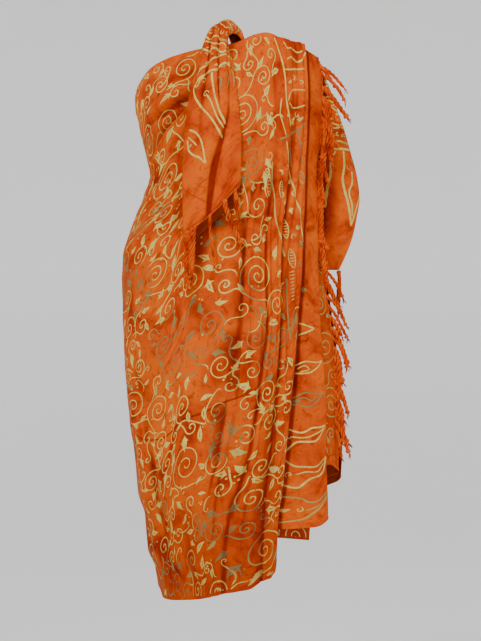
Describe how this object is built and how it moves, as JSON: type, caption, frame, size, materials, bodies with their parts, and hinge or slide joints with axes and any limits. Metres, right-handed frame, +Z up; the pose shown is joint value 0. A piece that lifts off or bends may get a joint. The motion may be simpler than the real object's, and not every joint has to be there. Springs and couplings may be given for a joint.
{
  "type": "sarong",
  "caption": "Long batik sarong cloth wound round the body as a strapless dress, with fringed ends and its corners turned over the top edge as hanging tails.",
  "frame": {"origin": "middle of the chest, at bust height, where the wearer's body holds the wound cloth up", "axes": "+Z up, -Y the front, +X the wearer's left side"},
  "size_m": [0.4169, 0.2826, 0.9818],
  "materials": {
    "batik_cloth": "soft matt rayon with a slight sheen, dyed mottled orange with pale yellow scrolling print",
    "fringe": "matt twisted rayon strands, plain orange"
  },
  "bodies": {
    "root": {"under_wrap": "batik_cloth", "outer_wrap": "batik_cloth", "end_panel": "batik_cloth", "end_return": "batik_cloth", "under_corner": "batik_cloth", "tail_front": "batik_cloth", "tail_back": "batik_cloth", "tail_side": "batik_cloth", "fringe_upper": "fringe", "fringe_lower": "fringe", "fringe_tail_front": "fringe", "fringe_tail_side": "fringe"}
  },
  "joints": []
}
